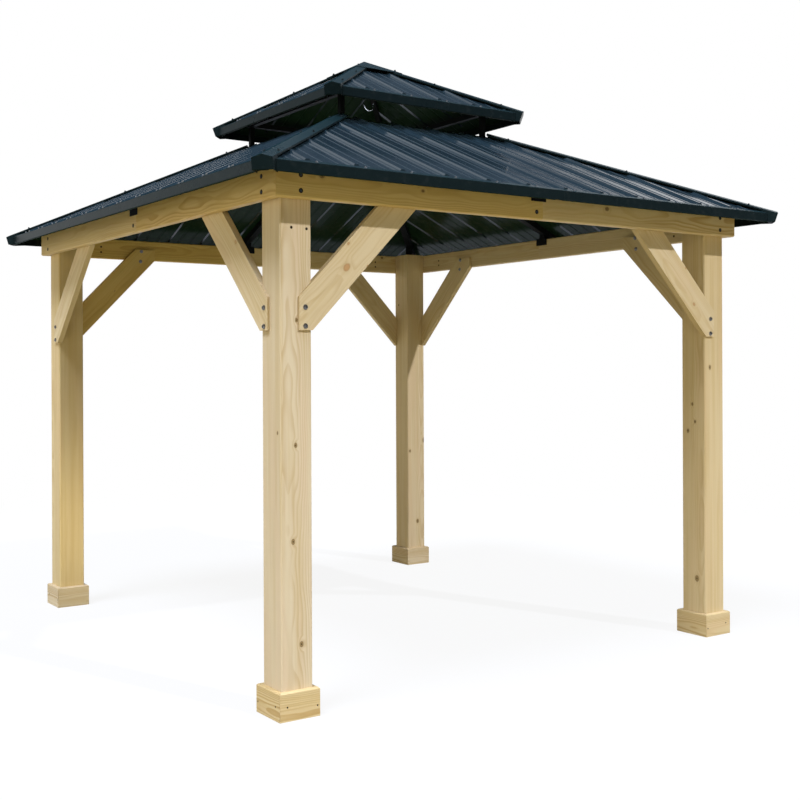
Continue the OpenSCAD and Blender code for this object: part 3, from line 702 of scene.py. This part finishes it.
def brace_bolts(material):
    """Bolts with washers on the braces."""
    mesh = bmesh.new()
    low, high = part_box("front_brace_left")
    spots = [(end * x, low[1], z, -1) for end in (-1, 1) for x, z in BRACE_BOLTS]
    spots += [(end * x, high[1], z, 1) for end in (-1, 1) for x, z in BRACE_HEAD_BOLTS]
    for turn in SIDE_TURN.values():
        for x, y, z, out in spots:
            place = turned(turn) @ facing((x, y, z), (0, out, 0))
            revolve(mesh, place, BOLT_WASHER)
            revolve(mesh, place, BOLT_HEAD)
    add_piece("brace_bolts", mesh, material)


def sunk_bolts(shade_and_screw_paint, bolt):
    """Bolts on discs of painted shade that stand for the wells they sink in along the beams, screws in the
    posts and beams, nails in the skirts.
    """
    shade_discs_and_screws, bolts = bmesh.new(), bmesh.new()
    beam_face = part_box("front_beam")[0][1]
    inner_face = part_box("front_beam")[1][1]
    post_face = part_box("front_left_post")[0][1]
    skirt_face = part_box("front_left_skirt")[0][1]
    post_line = middle("front_right_post").x
    sunk = [(end * post_line, beam_face, z) for end in (-1, 1) for z in BEAM_END_BOLTS_Z]
    sunk += [(x, beam_face, z) for x, z in BEAM_MID_BOLTS]
    for turn in SIDE_TURN.values():
        spin = turned(turn)
        for spot in sunk:
            place = spin @ facing(spot, (0, -1, 0))
            # A disc of painted shade for the well, and the bolt standing in it
            revolve(shade_discs_and_screws, place, WELL_SHADE_DISC)
            revolve(bolts, place, WELL_BOLT, sides=12)
        for end in (-1, 1):
            for x, z in BEAM_INNER_SCREWS:
                revolve(shade_discs_and_screws, spin @ facing((end * x, inner_face, z), (0, 1, 0)), SCREW_SPOT, sides=14)
        for x, z in SKIRT_NAILS:
            revolve(shade_discs_and_screws, spin @ facing((x, skirt_face, z), (0, -1, 0)), NAIL, sides=12)
            revolve(shade_discs_and_screws, spin @ facing((skirt_face, x, z), (-1, 0, 0)), NAIL, sides=12)
    for x, z in POST_SCREWS:
        revolve(shade_discs_and_screws, facing((x, post_face, z), (0, -1, 0)), SCREW_SPOT, sides=14)
    add_piece("sunk_well_shades_and_screws", shade_discs_and_screws, shade_and_screw_paint)
    add_piece("sunk_bolts", bolts, bolt)


def skin(name):
    """The surface of a CAD node, to seat screws on."""
    piece = nodes[name]
    corners = [piece.matrix_world @ v.co for v in piece.data.vertices]
    return BVHTree.FromPolygons(corners, [list(face.vertices) for face in piece.data.polygons])


def seat(surface, x, y):
    """The frame of a screw that stands on a surface straight below a place in plan, or None."""
    point, normal, _, _ = surface.ray_cast(Vector((x, y, ABOVE_ROOF)), Vector((0, 0, -1)))
    return None if point is None else facing(point, normal)


def roof_screws(material, coated):
    """Hex screws with washers on the eave lips, and coated ones on the hip caps and the peak."""
    spots, coated_spots = [], []
    for name in ("front_eave_trim", "upper_eave_trims"):
        surface = skin(name)
        half = -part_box(name)[0][1]
        for k in range(-RIB_COUNT, RIB_COUNT + 1):
            x = RIB_SHIFT + k * RIB_PITCH + BESIDE_RIB
            if abs(x) < half - BOX_SHY:
                spots.append(seat(surface, x, IN_FROM_EAVE - half))
    for name, rows in (("hip_caps", HIP_ROWS), ("upper_hip_caps", UPPER_HIP_ROWS)):
        surface = skin(name)
        for row in rows:
            for side in (-1, 1):
                shift = side * HIP_BESIDE / math.sqrt(2)
                coated_spots.append(seat(surface, -row + shift, -row - shift))
    coated_spots.append(seat(skin("peak_cap"), -PEAK_ROW, -PEAK_ROW))
    for name, places, paint in (("eave_screws", spots, material), ("hip_screws", coated_spots, coated)):
        mesh = bmesh.new()
        for turn in SIDE_TURN.values():
            for spot in places:
                if spot is not None:
                    revolve(mesh, turned(turn) @ spot, ROOF_WASHER, sides=16)
                    revolve(mesh, turned(turn) @ spot, ROOF_HEX, sides=6)
        add_piece(name, mesh, paint)


# Eased edges: widths in metres by material slot, and the turn in degrees up to which an edge is left alone
EDGE_EASE = {"pine_timber": 0.0022, "roof_trim": 0.0010, "roof_sheet": 0.0010}
EASE_ANGLE = 40.0


def ease_edges():
    """Softens the planed edges of the boards and the folds of the steel."""
    for part in frame["record"]["subparts"]:
        if part["material_slot"] in EDGE_EASE:
            bevel = nodes[part["node"]].modifiers.new("eased", "BEVEL")
            bevel.width = EDGE_EASE[part["material_slot"]]
            bevel.segments = 2
            bevel.limit_method = "ANGLE"
            bevel.angle_limit = math.radians(EASE_ANGLE)
            bevel.harden_normals = True


# Suns: directions towards them, strengths, angles in degrees, and tints
KEY_FROM = Vector((0.262, -0.707, 0.657))
KEY_STRENGTH = 2.38
KEY_ANGLE = 1.2
KEY_TINT = (0.97, 1.0, 1.12)
SIDE_FROM = Vector((-0.42, -0.12, 0.90))
SIDE_STRENGTH = 3.4
SIDE_ANGLE = 20.0
SIDE_TINT = (0.90, 1.0, 1.25)
LOW_FROM = Vector((-0.96, -0.06, 0.27))
LOW_STRENGTH = 0.15
LOW_ANGLE = 32.0
LOW_TINT = (1.0, 0.93, 0.72)

# Soft box near the ground: places in metres, power in watts, spread in degrees
BOX_AT = Vector((-1.02, -0.85, 0.30))
BOX_TOWARDS = Vector((-1.20, 1.15, 0.42))
BOX_POWER = 1.2
BOX_SIZE = 0.5
BOX_SPREAD = 40.0
BOX_TINT = (1.0, 0.95, 0.80)

# Floor: radius and the band in which its shadow fades, in metres, its tones, and its loss in reflections
FLOOR_RADIUS = 60.0
FLOOR_FADE = (2.2, 6.0)
FLOOR_TONE = rgb(0.34, 0.285, 0.15)
FLOOR_SHADOW = rgb(0.7, 0.7, 0.7)
FLOOR_WHITE_NEAR = 0.90
FLOOR_MIRROR_LOSS = 0.8

# Sky tones, and the heights, as the sine of the elevation, between which they change
SKY_WHITE = rgb(1.0, 1.0, 1.0)
SKY_DIM = rgb(0.05, 0.065, 0.085)
SKY_TOP = rgb(0.88, 0.94, 1.0)
SKY_SCREEN = rgb(0.06, 0.07, 0.08)
SOFT_LOW = rgb(0.84, 0.76, 0.56)
SOFT_HIGH = rgb(0.16, 0.20, 0.25)
DIM_BAND = (0.385, 0.425)
TOP_BEGINS = (0.72, 0.83)
TOP_ENDS = (0.93, 0.87)
SOFT_BAND = (0.20, 0.55)
SCREEN_ENDS = (0.60, 0.40)
SCREEN_AT = (0.50, -0.866, 0.0)
SCREEN_EDGE = (0.55, 0.85)


def hang_lamp(name, lamp, towards, tint):
    """Puts a lamp in the scene, turned so that it shines from a direction, and hides it from reflections."""
    lamp.color = tint
    holder = bpy.data.objects.new(name, lamp)
    holder.rotation_euler = towards.to_track_quat("Z", "Y").to_euler()
    holder.visible_glossy = False
    bpy.context.scene.collection.objects.link(holder)
    return holder


def add_sun(name, towards, strength, angle, tint):
    lamp = bpy.data.lights.new(name, "SUN")
    lamp.energy = strength
    lamp.angle = math.radians(angle)
    hang_lamp(name, lamp, towards, tint)


def add_soft_box():
    lamp = bpy.data.lights.new("box", "AREA")
    lamp.energy = BOX_POWER
    lamp.size = BOX_SIZE
    lamp.spread = math.radians(BOX_SPREAD)
    holder = hang_lamp("box", lamp, BOX_AT - BOX_TOWARDS, BOX_TINT)
    holder.location = BOX_AT
    holder.visible_camera = False


def make_floor():
    """A round pale floor that looks white and keeps a faint shadow."""
    mesh = bmesh.new()
    bmesh.ops.create_circle(mesh, cap_ends=True, radius=FLOOR_RADIUS, segments=96)
    data = bpy.data.meshes.new("floor")
    mesh.to_mesh(data)
    mesh.free()
    floor = bpy.data.objects.new("floor", data)
    bpy.context.scene.collection.objects.link(floor)
    material, tree = blank_material("floor_white")
    reach = tree.vector("LENGTH", tree.here())
    rays, shown = tree.shown_rays()
    bounce = tree.add("ShaderNodeBsdfDiffuse", {"Color": FLOOR_TONE})
    shadow = tree.add("ShaderNodeBsdfDiffuse", {"Color": FLOOR_SHADOW})
    white = tree.add("ShaderNodeEmission", {"Color": SKY_WHITE, "Strength": 1.0})
    plain = tree.step(reach, *FLOOR_FADE, FLOOR_WHITE_NEAR, 1.0)
    plain = tree.lessen(plain, rays["Is Glossy Ray"], FLOOR_MIRROR_LOSS)
    seen = tree.add("ShaderNodeMixShader", {"Fac": plain, 1: shadow.outputs[0], 2: white.outputs[0]})
    both = tree.add("ShaderNodeMixShader", {"Fac": shown, 1: bounce.outputs[0], 2: seen.outputs[0]})
    tree.add("ShaderNodeOutputMaterial", {"Surface": both.outputs[0]})
    data.materials.append(material)


def make_sky():
    """The backdrop: plain white to the camera.

    Reflections see it white round the horizon and dim above, with a pale band high up and a dark screen.
    """
    world = bpy.data.worlds.new("studio")
    bpy.context.scene.world = world
    world.use_nodes = True
    world.node_tree.nodes.clear()
    tree = Tree(world.node_tree)
    towards = tree.add("ShaderNodeTexCoord").outputs["Generated"]
    height = tree.split(towards)[2]
    beside = tree.vector("DOT_PRODUCT", towards, SCREEN_AT)
    screen = tree.math("MULTIPLY", tree.step(beside, *SCREEN_EDGE), tree.step(height, *SCREEN_ENDS))
    high_up = tree.math("MULTIPLY", tree.step(height, *TOP_BEGINS), tree.step(height, *TOP_ENDS))
    sky = tree.mix(tree.step(height, *DIM_BAND), SKY_WHITE, SKY_DIM)
    sky = tree.mix(high_up, sky, SKY_TOP)
    soft = tree.mix(tree.step(height, *SOFT_BAND), SOFT_LOW, SOFT_HIGH)
    rays, shown = tree.shown_rays()
    sky = tree.mix(shown, soft, sky)
    sky = tree.mix(screen, sky, SKY_SCREEN)
    sky = tree.mix(rays["Is Camera Ray"], sky, SKY_WHITE)
    light = tree.add("ShaderNodeBackground", {"Color": sky, "Strength": 1.0})
    tree.add("ShaderNodeOutputWorld", {"Surface": light.outputs[0]})


def make_camera():
    """The photograph's viewpoint."""
    yaw, pitch, roll = (math.radians(v) for v in (CAMERA_YAW, CAMERA_PITCH, CAMERA_ROLL))
    ahead = Vector((math.sin(yaw) * math.cos(pitch), math.cos(yaw) * math.cos(pitch), math.sin(pitch)))
    level = Vector((math.cos(yaw), -math.sin(yaw), 0.0))
    above = level.cross(ahead)
    right = math.cos(roll) * level + math.sin(roll) * above
    up = math.cos(roll) * above - math.sin(roll) * level
    lens = bpy.data.cameras.new("camera")
    lens.sensor_width = SENSOR_MM
    lens.sensor_fit = "HORIZONTAL"
    lens.lens = FOCAL_PX / IMAGE_PX * SENSOR_MM
    lens.shift_x = (IMAGE_PX / 2 - CENTRE_X_PX) / IMAGE_PX
    lens.shift_y = (CENTRE_Y_PX - IMAGE_PX / 2) / IMAGE_PX
    holder = bpy.data.objects.new("camera", lens)
    axes = Matrix((right, up, -ahead)).transposed().to_4x4()
    holder.matrix_world = Matrix.Translation(CAMERA_AT) @ axes
    bpy.context.scene.collection.objects.link(holder)
    bpy.context.scene.camera = holder


make_camera()
make_sky()
make_floor()
add_sun("key", KEY_FROM, KEY_STRENGTH, KEY_ANGLE, KEY_TINT)
add_sun("side", SIDE_FROM, SIDE_STRENGTH, SIDE_ANGLE, SIDE_TINT)
add_sun("low", LOW_FROM, LOW_STRENGTH, LOW_ANGLE, LOW_TINT)
add_soft_box()
dress_timber()
dress_steel()
ease_edges()
brace_bolts(plated("bolt_steel", BOLT_GREY, rough=0.35))
# The wells are discs of painted shade; the post and beam screws and the skirt nails share their dark colour
sunk_bolts(powder_coat("painted_well_shade_and_screws", WELL_SHADE_AND_SCREW_DARK), plated("sunk_steel", SCREW_COAT, rough=0.40))
roof_screws(plated("screw_steel", SCREW_GREY, rough=0.30), plated("screw_coat", SCREW_COAT, rough=0.35))

bpy.context.scene.view_settings.view_transform = "Standard"
